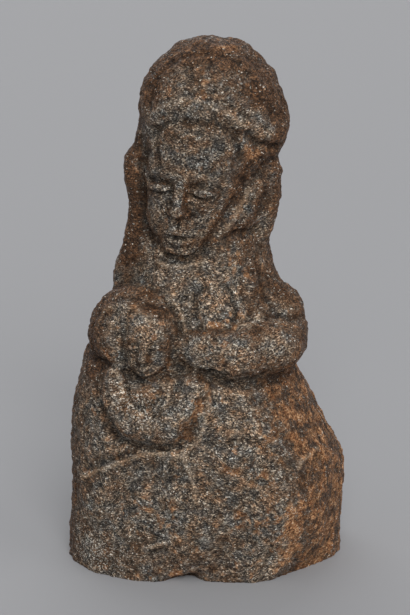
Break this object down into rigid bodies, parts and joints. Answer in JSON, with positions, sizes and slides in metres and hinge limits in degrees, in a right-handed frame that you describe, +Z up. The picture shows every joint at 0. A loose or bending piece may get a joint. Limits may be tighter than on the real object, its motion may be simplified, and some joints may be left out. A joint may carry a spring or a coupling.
{
  "type": "stone guardian statue",
  "caption": "Rough-carved granite figure with a tall rounded headdress and veil, holding a small child to its breast, on a flat broad foot.",
  "frame": {"origin": "middle of the flat foot, on the surface that the figure stands on", "axes": "+Z up; -Y the way the figure faces; +X to the figure's own left"},
  "size_m": [0.2145, 0.1752, 0.4099],
  "materials": {
    "stone": "rough pecked granite, dark grey-brown with pale grains and rust-coloured weathering"
  },
  "bodies": {
    "root": {"statue": "stone"}
  },
  "joints": []
}
